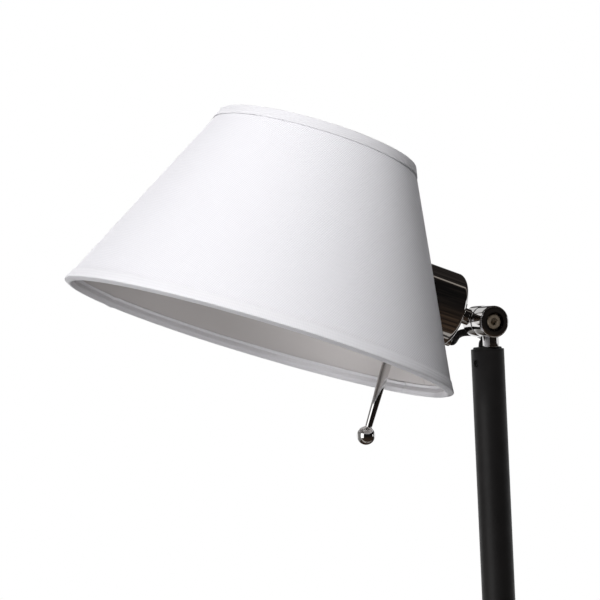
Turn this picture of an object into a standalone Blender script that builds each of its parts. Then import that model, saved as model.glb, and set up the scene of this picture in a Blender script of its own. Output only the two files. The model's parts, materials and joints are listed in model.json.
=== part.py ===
"""Pharmacy floor lamp: a weighted round base, a slim round post, and a tilting head.

The post stands on the Z axis and the base rests on Z = 0. The head reaches towards -Y. It tilts on a
two-part knuckle whose axis is parallel to X, and it swivels about the post on a plug in the post's top.
The knuckle, cup, shade and handle are laid out level and then tilted up together by HEAD_TILT.
"""

import math

import bmesh
import bpy
from mathutils import Vector

MM = 0.001
TOUCH = 0.3 * MM  # gap kept between pieces that touch on the real lamp

# --- driving dimensions -------------------------------------------------------------------------
KNUCKLE_HEIGHT = 1300.0 * MM
HEAD_TILT = math.radians(20.5)

POST_RADIUS = 11.0 * MM
POST_WALL = 1.2 * MM
POST_TOP = KNUCKLE_HEIGHT - 18.2 * MM
POST_SECTIONS = ("post_lower", "post_middle", "post_upper")
COUPLER_LENGTH = 50.0 * MM

BASE_RADIUS = 140.0 * MM
BASE_SKIN = 1.2 * MM
WEIGHT_RADIUS = 134.0 * MM
WEIGHT_LOW = 3.3 * MM
WEIGHT_HIGH = 15.3 * MM
RECESS_HIGH = 10.5 * MM
COVER_CROWN = 26.0 * MM
STUD_RADIUS = 5.0 * MM

INSERT_TOP = POST_TOP + 1.3 * MM
INSERT_LENGTH = 22.3 * MM
INSERT_RADIUS = POST_RADIUS - POST_WALL - TOUCH
GRUB_HEIGHT = POST_TOP - 9.0 * MM
GRUB_ANGLE = math.radians(-72.6)
GROOVE_RADIUS = 7.6 * MM

KNUCKLE_X = -1.2 * MM
KNUCKLE_RADIUS = 10.6 * MM
KNUCKLE_HALF = 14.4 * MM
HALF_GAP = 0.55 * MM
HALF_CENTRE = (KNUCKLE_HALF + HALF_GAP) / 2
EDGE_ROUNDING = 2.0 * MM
COUNTERBORE = 6.2 * MM
STUB_RADIUS = 5.4 * MM
STUB_X = 5.6 * MM
SCREW_RADIUS = 3.0 * MM
SCREW_BORE = 3.4 * MM

CUP_RADIUS = 25.5 * MM
CUP_START = 22.7 * MM
CUP_LENGTH = 50.0 * MM
CUP_WALL = 1.2 * MM
CUP_FLOOR = 2.0 * MM
GLAND_DROP = 19.2 * MM
GLAND_RADIUS = 3.6 * MM
GLAND_LENGTH = 5.4 * MM

SHADE_REACH = 147.0 * MM
SHADE_BOTTOM = -57.3 * MM
SHADE_TOP = 77.2 * MM
SHADE_BOTTOM_RADIUS = 129.5 * MM
SHADE_TOP_RADIUS = 66.0 * MM
PANEL_THICKNESS = 0.8 * MM
HEM_THICKNESS = 0.5 * MM
HEM_HEIGHT = 6.5 * MM
HEM_INSIDE = 6.5 * MM
WIRE_RADIUS = 1.1 * MM
SHADE_SEGMENTS = 48

HANDLE_REACH = 56.6 * MM
HANDLE_DROP = 95.8 * MM
BALL_RADIUS = 6.1 * MM
ROD_TOP_RADIUS = 3.8 * MM
ROD_END_RADIUS = 2.35 * MM

CABLE_RADIUS = 2.5 * MM

# The cable's route, from the insert to the lampholder. The first points stand upright in the insert,
# measured from the post's axis and the knuckle's height. The last ones lie in the cup, tilted with it.
CABLE_IN_POST = (
    (0.0, 0.0, -64.0),
    (-0.4, -0.1, -60.0),
    (-3.0, -0.5, -54.0),
    (-5.3, -0.9, -48.0),
    (-5.6, -1.0, -42.0),
    (-5.6, -1.0, -30.0),
    (-5.6, -1.0, -21.0),
)
INSERT_BORE = (-5.6, -1.0)
CABLE_LOOSE = (
    (-5.7, -1.0, -17.4),
    (-7.6, 0.4, -14.3),
    (-12.4, 4.0, -13.2),
    (-16.6, 6.8, -11.4),
    (-19.6, 4.4, -9.0),
    (-20.6, -1.0, -7.4),
    (-19.4, -8.0, -7.2),
    (-16.0, -14.0, -8.6),
)
CABLE_IN_CUP = (
    (-2.9, -13.7, -17.7),
    (-0.3, -16.1, -19.1),
    (0.0, -18.0, -19.2),
    (0.0, -26.0, -19.2),
    (0.0, -30.0, -16.4),
    (0.0, -33.6, -13.0),
)
CABLE_POINTS = 42


def clear_scene():
    for old in list(bpy.data.objects):
        bpy.data.objects.remove(old, do_unlink=True)


def collection(name):
    made = bpy.data.collections.new(name)
    bpy.context.scene.collection.children.link(made)
    return made


def finish(name, colour, roughness, metallic=0.0):
    material = bpy.data.materials.new(name)
    material.use_nodes = True
    shader = material.node_tree.nodes["Principled BSDF"]
    shader.inputs["Base Color"].default_value = (*colour, 1.0)
    shader.inputs["Roughness"].default_value = roughness
    shader.inputs["Metallic"].default_value = metallic
    return material


clear_scene()
PARTS = collection("pharmacy_floor_lamp")
CUTTERS = collection("cutters")

BLACK_PAINT = finish("black_paint", (0.018, 0.017, 0.016), 0.45)
BLACK_PLASTIC = finish("black_plastic", (0.015, 0.015, 0.015), 0.55)
CHROME = finish("chrome", (0.80, 0.80, 0.79), 0.06, 1.0)
STEEL = finish("steel", (0.55, 0.55, 0.54), 0.35, 1.0)
BRASS = finish("brass", (0.72, 0.52, 0.22), 0.3, 1.0)
IRON = finish("iron", (0.09, 0.09, 0.09), 0.7, 0.6)
RUBBER = finish("rubber", (0.02, 0.02, 0.02), 0.8)
FABRIC = finish("white_fabric", (0.86, 0.86, 0.87), 0.9)
HEM_TAPE = finish("hem_fabric", (0.84, 0.84, 0.86), 0.9)
WHITE_WIRE = finish("white_wire", (0.75, 0.75, 0.74), 0.4)
GLASS = finish("opal_glass", (0.92, 0.92, 0.90), 0.3)


# --- frames -------------------------------------------------------------------------------------
def frame(name, location, parent=None, tilt=0.0):
    """An empty that pieces are laid out under. It isn't a piece of the lamp."""
    empty = bpy.data.objects.new(name, None)
    empty.location = location
    empty.rotation_euler = (tilt, 0.0, 0.0)
    empty.parent = parent
    PARTS.objects.link(empty)
    return empty


STAND = frame("stand_frame", (0, 0, 0))
SWIVEL = frame("swivel_axis", (0, 0, KNUCKLE_HEIGHT))
KNUCKLE = frame("knuckle_axis", (KNUCKLE_X, 0, 0), SWIVEL)
HEAD = frame("tilt_axis", (KNUCKLE_X, 0, 0), SWIVEL, -HEAD_TILT)
CUP_AXIS = frame("cup_axis", (-HALF_CENTRE, 0, 0), HEAD)

UPRIGHT = (0.0, 0.0, 0.0)
ALONG_X = (0.0, math.pi / 2, 0.0)
FORWARD = (math.pi / 2, 0.0, 0.0)  # a turned piece's own +Z points towards -Y
BACKWARD = (-math.pi / 2, 0.0, 0.0)


# --- shapes -------------------------------------------------------------------------------------
def place(obj, parent, location, rotation, material=None):
    obj.parent = parent
    obj.location = location
    obj.rotation_euler = rotation
    if material is None:
        CUTTERS.objects.link(obj)
        obj.hide_render = True
        obj.display_type = "WIRE"
    else:
        PARTS.objects.link(obj)
        obj.data.materials.append(material)
    return obj


def rounded(points, corners, steps=3):
    """The same outline with the corners named in {index: radius} turned into arcs."""
    made = []
    count = len(points)
    for i, point in enumerate(points):
        if i not in corners:
            made.append(point)
            continue
        here = Vector(point)
        before = (Vector(points[i - 1]) - here).normalized()
        after = (Vector(points[(i + 1) % count]) - here).normalized()
        half = before.angle(after) / 2
        radius = corners[i]
        centre = here + (before + after).normalized() * radius / math.sin(half)
        start = here + before * radius / math.tan(half) - centre
        end = here + after * radius / math.tan(half) - centre
        first = math.atan2(start.y, start.x)
        turn = (math.atan2(end.y, end.x) - first + math.pi) % (2 * math.pi) - math.pi
        for k in range(steps + 1):
            angle = first + turn * k / steps
            made.append((centre.x + radius * math.cos(angle), centre.y + radius * math.sin(angle)))
    return made


def disc(radius, low, high):
    """Outline of a solid disc or rod, from the axis at its top to the axis at its bottom."""
    return [(0.0, high), (radius, high), (radius, low), (0.0, low)]


def ring(inner, outer, low, high):
    """Closed outline of a ring or tube, down its outer side and up its bore."""
    return [(outer, high), (outer, low), (inner, low), (inner, high)]


def turned(name, outline, parent, material=None, location=(0, 0, 0), rotation=UPRIGHT, segments=28):
    """A turned piece: its outline of (radius, height) points, swept round its own Z axis."""
    mesh = bpy.data.meshes.new(name)
    solid = outline[0][0] == 0.0 and outline[-1][0] == 0.0
    edges = [(i, i + 1) for i in range(len(outline) - 1)]
    if not solid:
        edges.append((len(outline) - 1, 0))
    mesh.from_pydata([(r, 0.0, z) for r, z in outline], edges, [])
    obj = bpy.data.objects.new(name, mesh)
    place(obj, parent, location, rotation, material)
    screw = obj.modifiers.new("turn", "SCREW")
    screw.axis = "Z"
    screw.steps = segments
    screw.render_steps = segments
    screw.use_merge_vertices = True
    screw.merge_threshold = 1e-6
    screw.use_smooth_shade = True
    return obj


def hexagon(name, across_flats, low, high, parent, material=None, location=(0, 0, 0), rotation=UPRIGHT):
    """A six-sided prism between two heights on its own Z axis."""
    shape = bmesh.new()
    corner = across_flats / math.sqrt(3)
    bmesh.ops.create_cone(
        shape, cap_ends=True, segments=6, radius1=corner, radius2=corner, depth=high - low
    )
    bmesh.ops.translate(shape, verts=shape.verts, vec=(0, 0, (high + low) / 2))
    mesh = bpy.data.meshes.new(name)
    shape.to_mesh(mesh)
    shape.free()
    return place(bpy.data.objects.new(name, mesh), parent, location, rotation, material)


def block(name, size, parent, location, rotation=UPRIGHT):
    """A box-shaped cutter."""
    shape = bmesh.new()
    bmesh.ops.create_cube(shape, size=1.0)
    bmesh.ops.scale(shape, verts=shape.verts, vec=size)
    mesh = bpy.data.meshes.new(name)
    shape.to_mesh(mesh)
    shape.free()
    return place(bpy.data.objects.new(name, mesh), parent, location, rotation)


def combine(obj, tool, operation):
    step = obj.modifiers.new(tool.name, "BOOLEAN")
    step.operation = operation
    step.solver = "EXACT"
    step.object = tool


def cut(obj, tool):
    combine(obj, tool, "DIFFERENCE")


def join(obj, tool):
    combine(obj, tool, "UNION")


def nut(name, across_flats, low, high, bore, parent, location=(0, 0, 0), rotation=UPRIGHT, material=STEEL):
    made = hexagon(name, across_flats, low, high, parent, material, location, rotation)
    drill = disc(bore, low - 2 * MM, high + 2 * MM)
    cut(made, turned(name + "_drill", drill, parent, None, location, rotation, 24))
    return made


def smooth_route(points, count):
    """Evenly spaced points on a smooth curve through the given ones."""
    knots = [Vector(p) for p in points]
    knots = [2 * knots[0] - knots[1]] + knots + [2 * knots[-1] - knots[-2]]
    fine = []
    for k in range(1, len(knots) - 2):
        a, b, c, d = knots[k - 1 : k + 3]
        for step in range(20):
            t = step / 20
            fine.append(
                0.5
                * (
                    2 * b
                    + (c - a) * t
                    + (2 * a - 5 * b + 4 * c - d) * t**2
                    + (3 * b - a - 3 * c + d) * t**3
                )
            )
    fine.append(knots[-2])
    lengths = [0.0]
    for a, b in zip(fine, fine[1:]):
        lengths.append(lengths[-1] + (b - a).length)
    route = []
    k = 0
    for i in range(count):
        goal = lengths[-1] * i / (count - 1)
        while k < len(fine) - 2 and lengths[k + 1] < goal:
            k += 1
        share = (goal - lengths[k]) / (lengths[k + 1] - lengths[k])
        route.append(fine[k].lerp(fine[k + 1], share))
    return route


def wire(name, points, radius, parent, material, sides=2):
    """A round wire or cable through the points, with flat ends."""
    curve = bpy.data.curves.new(name, "CURVE")
    curve.dimensions = "3D"
    curve.bevel_depth = radius
    curve.bevel_resolution = sides
    curve.use_fill_caps = True
    curve.resolution_u = 1
    spline = curve.splines.new("POLY")
    spline.points.add(len(points) - 1)
    for knot, point in zip(spline.points, points):
        knot.co = (*point, 1.0)
    return place(bpy.data.objects.new(name, curve), parent, (0, 0, 0), UPRIGHT, material)


def hoop(name, radius, height, parent, material):
    """A wire ring round the shade's axis."""
    bpy.ops.mesh.primitive_torus_add(
        major_segments=SHADE_SEGMENTS,
        minor_segments=6,
        major_radius=radius,
        minor_radius=WIRE_RADIUS,
    )
    obj = bpy.context.object
    obj.name = name
    for home in list(obj.users_collection):
        home.objects.unlink(obj)
    return place(obj, parent, (0, -SHADE_REACH, height), UPRIGHT, material)


# --- base ---------------------------------------------------------------------------------------
def make_base():
    pad = disc(WEIGHT_RADIUS - 1 * MM, 0.0, WEIGHT_LOW - TOUCH)
    turned("foot_pad", pad, STAND, RUBBER, segments=48)

    weight_outline = rounded(
        [
            (WEIGHT_RADIUS, WEIGHT_HIGH),
            (WEIGHT_RADIUS, WEIGHT_LOW),
            (15 * MM, WEIGHT_LOW),
            (15 * MM, RECESS_HIGH),
            (STUD_RADIUS + TOUCH, RECESS_HIGH),
            (STUD_RADIUS + TOUCH, WEIGHT_HIGH),
        ],
        {0: 2 * MM},
        2,
    )
    weight = turned("base_weight", weight_outline, STAND, IRON, segments=48)
    channel = (9 * MM, WEIGHT_RADIUS, 2 * (RECESS_HIGH - WEIGHT_LOW))
    cut(weight, block("cable_channel", channel, STAND, (0, 10 * MM + WEIGHT_RADIUS / 2, WEIGHT_LOW)))

    rim = BASE_RADIUS - BASE_SKIN
    crown = COVER_CROWN
    cover_outline = rounded(
        [
            (STUD_RADIUS + TOUCH, crown),
            (30 * MM, crown - 0.4 * MM),
            (100 * MM, crown - 5 * MM),
            (BASE_RADIUS, crown - 9 * MM),
            (BASE_RADIUS, 2.4 * MM),
            (rim, 2.4 * MM),
            (rim, crown - 9 * MM - BASE_SKIN),
            (100 * MM, crown - 5 * MM - BASE_SKIN),
            (30 * MM, crown - 0.4 * MM - BASE_SKIN),
            (STUD_RADIUS + TOUCH, crown - BASE_SKIN),
        ],
        {3: 7 * MM, 6: 5.8 * MM},
        3,
    )
    cover = turned("base_cover", cover_outline, STAND, BLACK_PAINT, segments=40)
    bush_height = 7.4 * MM
    bush_place = (0, BASE_RADIUS, bush_height)
    bush_hole = disc(4.4 * MM, -8 * MM, 8 * MM)
    cut(cover, turned("bush_hole", bush_hole, STAND, None, bush_place, BACKWARD, 24))
    bush_outline = [
        (5.2 * MM, 2.6 * MM),
        (5.6 * MM, 0.9 * MM),
        (5.6 * MM, TOUCH),
        (4.1 * MM, TOUCH),
        (4.1 * MM, -3.0 * MM),
        (CABLE_RADIUS + TOUCH, -3.0 * MM),
        (CABLE_RADIUS + TOUCH, 2.6 * MM),
    ]
    turned("cord_bush", bush_outline, STAND, RUBBER, bush_place, BACKWARD, 24)

    washer = ring(STUD_RADIUS + TOUCH, 11 * MM, 8.7 * MM, RECESS_HIGH - TOUCH)
    turned("base_washer", washer, STAND, STEEL, segments=24)
    nut("base_nut", 17 * MM, 4.0 * MM, 8.4 * MM, STUD_RADIUS + TOUCH, STAND)
    turned("stud", ring(3.2 * MM, STUD_RADIUS, 3.8 * MM, crown + 28 * MM), STAND, STEEL, segments=20)
    spacer = ring(STUD_RADIUS + TOUCH, 9 * MM, WEIGHT_HIGH + TOUCH, crown - BASE_SKIN - TOUCH)
    turned("base_spacer", spacer, STAND, STEEL, segments=24)


# --- post ---------------------------------------------------------------------------------------
def make_post():
    foot = COVER_CROWN + TOUCH
    collar = rounded(ring(POST_RADIUS + TOUCH, 17 * MM, foot, foot + 9 * MM), {0: 3 * MM})
    turned("post_collar", collar, STAND, BLACK_PAINT)
    plug = ring(STUD_RADIUS + TOUCH, INSERT_RADIUS, foot, foot + 32 * MM)
    turned("foot_plug", plug, STAND, STEEL, segments=32)

    pitch = (POST_TOP - foot + TOUCH) / len(POST_SECTIONS)
    for k, name in enumerate(POST_SECTIONS):
        low = foot + k * pitch
        wall = ring(POST_RADIUS - POST_WALL, POST_RADIUS, low, low + pitch - TOUCH)
        section = turned(name, wall, STAND, BLACK_PAINT, segments=32)
        if k == 0:
            continue
        below = low - COUPLER_LENGTH / 2
        sleeve = ring(4.5 * MM, INSERT_RADIUS, below, below + COUPLER_LENGTH)
        turned(f"coupler_{k}", sleeve, STAND, STEEL, segments=32)
    direction = (math.cos(GRUB_ANGLE), math.sin(GRUB_ANGLE), 0.0)
    facing = (0.0, math.pi / 2, GRUB_ANGLE)
    centre = (0.0, 0.0, GRUB_HEIGHT)
    hole = disc(2.4 * MM, 9 * MM, 12.5 * MM)
    hole[2] = (2.1 * MM, 9 * MM)
    cut(section, turned("grub_hole", hole, STAND, None, centre, facing, 24))
    screw_face = 10.1 * MM
    grub = rounded(disc(1.8 * MM, 8.1 * MM, screw_face), {1: 0.4 * MM, 2: 0.3 * MM}, 1)
    screw = turned("grub_screw", grub, STAND, BLACK_PAINT, centre, facing, 24)
    socket_place = Vector(centre) + Vector(direction) * screw_face
    cut(screw, hexagon("grub_socket", 2 * MM, -1.2 * MM, 1 * MM, STAND, None, socket_place, facing))

    low = 5 * MM
    top = KNUCKLE_HEIGHT + CABLE_IN_POST[0][2] * MM - 0.5 * MM
    lead = [Vector((0, 0, low + (top - low) * k / 8)) for k in range(9)]
    wire("post_lead", smooth_route(lead, 24), CABLE_RADIUS, STAND, RUBBER, 1)


# --- swivel and knuckle -------------------------------------------------------------------------
def make_insert():
    top = INSERT_TOP - KNUCKLE_HEIGHT
    low = top - INSERT_LENGTH
    groove = GRUB_HEIGHT - KNUCKLE_HEIGHT
    outline = rounded(
        [
            (0.0, top),
            (INSERT_RADIUS, top),
            (INSERT_RADIUS, groove + 2.3 * MM),
            (GROOVE_RADIUS, groove + 2.3 * MM),
            (GROOVE_RADIUS, groove - 2.3 * MM),
            (INSERT_RADIUS, groove - 2.3 * MM),
            (INSERT_RADIUS, low),
            (0.0, low),
        ],
        {1: 0.6 * MM},
        2,
    )
    insert = turned("top_insert", outline, SWIVEL, BLACK_PLASTIC)
    opposite = GRUB_ANGLE + math.pi
    stop_reach = 8.2 * MM
    stop_place = (stop_reach * math.cos(opposite), stop_reach * math.sin(opposite), groove)
    stop = block("groove_stop", (2.2 * MM, 3.4 * MM, 5.0 * MM), SWIVEL, stop_place, (0, 0, opposite))
    join(insert, stop)
    bore_height = (low - 1 * MM, top + 1 * MM)
    cable_hole = disc(CABLE_RADIUS + 0.8 * MM, *bore_height)
    cable_place = (INSERT_BORE[0] * MM, INSERT_BORE[1] * MM, 0)
    cut(insert, turned("cable_hole", cable_hole, SWIVEL, None, cable_place, UPRIGHT, 24))
    stud_hole = disc(SCREW_RADIUS + TOUCH, *bore_height)
    cut(insert, turned("stub_hole", stud_hole, SWIVEL, None, (STUB_X - 1.6 * MM, 0, 0), UPRIGHT, 24))


def drum(name, parent, near, far):
    """Half of the knuckle, a drum round the X axis with a rounded outer edge."""
    outline = disc(KNUCKLE_RADIUS, min(near, far), max(near, far))
    outer = 1 if far > near else 2
    outline = rounded(outline, {outer: EDGE_ROUNDING}, 3)
    return turned(name, outline, parent, CHROME, rotation=ALONG_X, segments=40)


def make_knuckle():
    lower = drum("knuckle_lower", KNUCKLE, HALF_GAP, KNUCKLE_HALF)
    foot = INSERT_TOP - KNUCKLE_HEIGHT + TOUCH
    stub_place = (STUB_X - KNUCKLE_X, 0, 0)
    stub = disc(STUB_RADIUS, foot, -2 * MM)
    join(lower, turned("stub", stub, KNUCKLE, None, stub_place))
    spigot_place = (STUB_X - 1.6 * MM - KNUCKLE_X, 0, 0)
    spigot_low = foot - INSERT_LENGTH - 6 * MM
    spigot = disc(SCREW_RADIUS, spigot_low, foot + 3 * MM)
    join(lower, turned("stub_spigot", spigot, KNUCKLE, None, spigot_place, UPRIGHT, 24))
    face = KNUCKLE_HALF + 1 * MM
    bore = [
        (0.0, face),
        (COUNTERBORE, face),
        (COUNTERBORE, 5.4 * MM),
        (SCREW_BORE, 5.4 * MM),
        (SCREW_BORE, -1 * MM),
        (0.0, -1 * MM),
    ]
    cut(lower, turned("lower_bore", bore, KNUCKLE, None, rotation=ALONG_X))
    nut_high = foot - INSERT_LENGTH - 2 * TOUCH
    nut("stub_nut", 10 * MM, nut_high - 4.5 * MM, nut_high, SCREW_RADIUS + TOUCH, KNUCKLE, spigot_place)

    upper = drum("knuckle_upper", HEAD, -HALF_GAP, -KNUCKLE_HALF)
    neck = disc(STUB_RADIUS, 2 * MM, CUP_START - TOUCH)
    join(upper, turned("neck", neck, CUP_AXIS, None, rotation=FORWARD))
    neck_spigot = disc(4.0 * MM, CUP_START - 3 * MM, CUP_START + CUP_FLOOR + 9 * MM)
    join(upper, turned("neck_spigot", neck_spigot, CUP_AXIS, None, rotation=FORWARD, segments=24))
    outside = -KNUCKLE_HALF - 1 * MM
    upper_bore = disc(SCREW_BORE, outside, 1 * MM)
    cut(upper, turned("upper_bore", upper_bore, HEAD, None, rotation=ALONG_X, segments=24))
    pocket = hexagon("nut_pocket", 10.7 * MM, outside, -8.2 * MM, HEAD, None, (0, 0, 0), ALONG_X)
    cut(upper, pocket)

    friction = ring(SCREW_BORE, 9 * MM, -0.25 * MM, 0.25 * MM)
    turned("friction_washer", friction, HEAD, BLACK_PLASTIC, rotation=ALONG_X)
    cone_washer = [
        (4.2 * MM, 7.1 * MM),
        (5.8 * MM, 6.4 * MM),
        (5.8 * MM, 5.7 * MM),
        (SCREW_BORE, 6.4 * MM),
        (SCREW_BORE, 7.1 * MM),
    ]
    turned("spring_washer", cone_washer, HEAD, STEEL, rotation=ALONG_X, segments=32)
    head_low = 7.4 * MM
    head_high = 13.2 * MM
    screw_outline = rounded(
        [
            (0.0, head_high),
            (5.0 * MM, head_high),
            (5.0 * MM, head_low),
            (SCREW_RADIUS, head_low),
            (SCREW_RADIUS, -13.8 * MM),
            (0.0, -13.8 * MM),
        ],
        {1: 0.8 * MM},
        2,
    )
    screw = turned("hinge_screw", screw_outline, HEAD, STEEL, rotation=ALONG_X)
    socket = (head_high - 3 * MM, head_high + 1 * MM)
    cut(screw, hexagon("hinge_socket", 5 * MM, *socket, HEAD, None, (0, 0, 0), ALONG_X))
    nut("hinge_nut", 10 * MM, -13.4 * MM, -8.5 * MM, SCREW_RADIUS + TOUCH, HEAD, (0, 0, 0), ALONG_X)


# --- cup and lampholder -------------------------------------------------------------------------
def make_cup():
    front = CUP_START + CUP_LENGTH
    inner = CUP_RADIUS - CUP_WALL
    floor = CUP_START + CUP_FLOOR
    outline = rounded(
        [
            (CUP_RADIUS, front),
            (CUP_RADIUS, CUP_START),
            (4.3 * MM, CUP_START),
            (4.3 * MM, floor),
            (inner, floor),
            (inner, front),
        ],
        {1: 4.0 * MM, 4: 2.6 * MM},
        3,
    )
    cup = turned("socket_cup", outline, CUP_AXIS, CHROME, rotation=FORWARD, segments=40)
    gland_place = (0, 0, -GLAND_DROP)
    spigot = CABLE_RADIUS + TOUCH + 0.7 * MM
    gland_hole = disc(spigot + TOUCH, CUP_START - 5 * MM, floor + 3 * MM)
    cut(cup, turned("gland_hole", gland_hole, CUP_AXIS, None, gland_place, FORWARD, 24))
    rod_hole = disc(2.4 * MM, -CUP_RADIUS - 5 * MM, -CUP_RADIUS + 5 * MM)
    cut(cup, turned("rod_hole", rod_hole, CUP_AXIS, None, (0, -HANDLE_REACH, 0), UPRIGHT, 24))

    gland = [
        (GLAND_RADIUS, CUP_START - TOUCH),
        (GLAND_RADIUS, CUP_START - GLAND_LENGTH),
        (CABLE_RADIUS + TOUCH, CUP_START - GLAND_LENGTH),
        (CABLE_RADIUS + TOUCH, floor + 1.5 * MM),
        (spigot, floor + 1.5 * MM),
        (spigot, CUP_START - TOUCH),
    ]
    turned("cable_gland", rounded(gland, {1: 0.9 * MM}, 2), CUP_AXIS, CHROME, gland_place, FORWARD, 24)

    washer = ring(4.3 * MM, 8 * MM, floor + TOUCH, floor + 1.5 * MM)
    turned("neck_washer", washer, CUP_AXIS, STEEL, rotation=FORWARD, segments=32)
    nut("neck_nut", 13 * MM, floor + 1.8 * MM, floor + 5.8 * MM, 4.3 * MM, CUP_AXIS, rotation=FORWARD)


def make_lampholder():
    back = 36.0 * MM
    mouth = 84.0 * MM
    body = rounded(
        [
            (19.3 * MM, mouth),
            (19.3 * MM, 48 * MM),
            (15.5 * MM, 44 * MM),
            (15.5 * MM, back),
            (4.3 * MM, back),
            (4.3 * MM, 48 * MM),
            (14.6 * MM, 48 * MM),
            (14.6 * MM, mouth),
        ],
        {3: 1.5 * MM},
        1,
    )
    turned("lampholder_body", body, CUP_AXIS, BLACK_PLASTIC, rotation=FORWARD)
    shell = ring(13.5 * MM, 14.2 * MM, 50 * MM, 78 * MM)
    turned("screw_shell", shell, CUP_AXIS, BRASS, rotation=FORWARD, segments=32)
    contact = rounded(disc(3.6 * MM, 47.4 * MM, 52.6 * MM), {1: 1 * MM}, 2)
    turned("centre_contact", contact, CUP_AXIS, BRASS, rotation=FORWARD, segments=16)
    nut_low = CUP_START + CUP_LENGTH + 2.0 * MM
    ring_nut = rounded(ring(19.6 * MM, 23.5 * MM, nut_low, nut_low + 6 * MM), {0: 1 * MM}, 1)
    turned("shade_ring_nut", ring_nut, CUP_AXIS, BLACK_PLASTIC, rotation=FORWARD)


def make_bulb():
    cap = rounded(
        [
            (0.0, 84.0 * MM),
            (13.1 * MM, 84.0 * MM),
            (13.1 * MM, 56 * MM),
            (4.0 * MM, 52.9 * MM),
            (0.0, 52.9 * MM),
        ],
        {2: 1.5 * MM},
        1,
    )
    turned("bulb_cap", cap, CUP_AXIS, STEEL, rotation=FORWARD, segments=32)
    neck = 84.3 * MM
    centre = 134.0 * MM
    radius = 30.0 * MM
    dome = []
    for k in range(8):
        angle = math.radians(90 - 18 * k)
        dome.append((radius * math.cos(angle), centre + radius * math.sin(angle)))
    dome[0] = (0.0, dome[0][1])
    profile = dome + [(21 * MM, 106 * MM), (16.0 * MM, 94 * MM), (15.0 * MM, neck), (0.0, neck)]
    turned("bulb_globe", profile, CUP_AXIS, GLASS, rotation=FORWARD, segments=24)


# --- shade --------------------------------------------------------------------------------------
SLOPE = math.atan2(SHADE_BOTTOM_RADIUS - SHADE_TOP_RADIUS, SHADE_TOP - SHADE_BOTTOM)


def on_wall(foot, along, out):
    """The (radius, height) of a point beside the shade's wall, from the wall's foot or its top edge."""
    radius = foot[0] - along * math.sin(SLOPE) + out * math.cos(SLOPE)
    return (radius, foot[1] + along * math.cos(SLOPE) + out * math.sin(SLOPE))


def hem_outline(edge, upward):
    """The folded hem's outline: down the outside of the panel, round the wire and up the inside."""
    outside = 0.3 * MM
    skin = HEM_THICKNESS
    inside = PANEL_THICKNESS + TOUCH
    fold = 0.4 * MM
    wire_side = PANEL_THICKNESS + 2 * WIRE_RADIUS + 3 * TOUCH
    points = [
        (HEM_HEIGHT, outside + skin),
        (-fold - skin, outside + skin),
        (-fold - skin, -wire_side - skin),
        (2.9 * MM, -wire_side - skin),
        (4.5 * MM, -inside - skin),
        (HEM_INSIDE, -inside - skin),
        (HEM_INSIDE, -inside),
        (4.3 * MM, -inside),
        (2.7 * MM, -wire_side),
        (-fold, -wire_side),
        (-fold, outside),
        (HEM_HEIGHT, outside),
    ]
    sign = 1 if upward else -1
    outline = [on_wall(edge, sign * along, out) for along, out in points]
    return outline if upward else outline[::-1]


def make_shade():
    axis = (0, -SHADE_REACH, 0)
    proud = TOUCH + HEM_THICKNESS
    lift = 0.9 * MM
    foot = on_wall((SHADE_BOTTOM_RADIUS, SHADE_BOTTOM), lift, -proud)
    crown = on_wall((SHADE_TOP_RADIUS, SHADE_TOP), -lift, -proud)
    panel_outline = [
        crown,
        foot,
        on_wall(foot, 0, -PANEL_THICKNESS),
        on_wall(crown, 0, -PANEL_THICKNESS),
    ]
    panel = turned("shade_panel", panel_outline, CUP_AXIS, FABRIC, axis, segments=SHADE_SEGMENTS)
    window = disc(CUP_RADIUS + 0.7 * MM, 5 * MM, 90 * MM)
    cut(panel, turned("cup_window", window, CUP_AXIS, None, rotation=FORWARD))
    bottom = hem_outline(foot, True)
    top = hem_outline(crown, False)
    turned("bottom_hem", bottom, CUP_AXIS, HEM_TAPE, axis, segments=SHADE_SEGMENTS)
    turned("top_hem", top, CUP_AXIS, HEM_TAPE, axis, segments=SHADE_SEGMENTS)
    wire_depth = -(PANEL_THICKNESS + TOUCH + WIRE_RADIUS + 0.1 * MM)
    low_wire = on_wall(foot, 1.6 * MM, wire_depth)
    high_wire = on_wall(crown, -1.6 * MM, wire_depth)
    hoop("bottom_ring", *low_wire, CUP_AXIS, WHITE_WIRE)
    hoop("top_ring", *high_wire, CUP_AXIS, WHITE_WIRE)
    return high_wire


def make_bracket(high_wire):
    """The ring that the shade ring nut clamps against the cup, and its four arms to the top wire."""
    start = CUP_START + CUP_LENGTH + TOUCH
    plate = ring(19.8 * MM, 27.5 * MM, start, start + 1.4 * MM)
    turned("bracket_ring", plate, CUP_AXIS, WHITE_WIRE, rotation=FORWARD)
    top_radius, top_height = high_wire
    end_height = top_height - 1.0 * MM
    arm_radius = 1.2 * MM
    hem_depth = WIRE_RADIUS + 3 * TOUCH + HEM_THICKNESS
    reach = top_radius - hem_depth - arm_radius - 1.2 * MM
    root_y = -(start + 1.4 * MM + TOUCH + arm_radius)
    for side, hand in ((1, "left"), (-1, "right")):
        for place_name, root_x, root_z, end_x in (("rear", 12.0, 22.0, 12.0), ("side", 25.3, 4.0, 52.0)):
            end_x = end_x * MM * side
            end_y = -SHADE_REACH + math.sqrt(reach**2 - end_x**2)
            if place_name == "side":
                end_y = -SHADE_REACH + math.sqrt(reach**2 - end_x**2) * 0.35
                end_x = side * math.sqrt(reach**2 - (end_y + SHADE_REACH) ** 2)
            root = Vector((root_x * MM * side, root_y, root_z * MM))
            end = Vector((end_x, end_y, end_height))
            shoulder = end.lerp(root, 0.12)
            elbow = root.lerp(end, 0.12) + Vector((0, 0, 2 * MM))
            points = smooth_route([root, elbow, shoulder, end], 12)
            wire(f"{place_name}_arm_{hand}", points, arm_radius, CUP_AXIS, WHITE_WIRE, 1)


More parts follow.
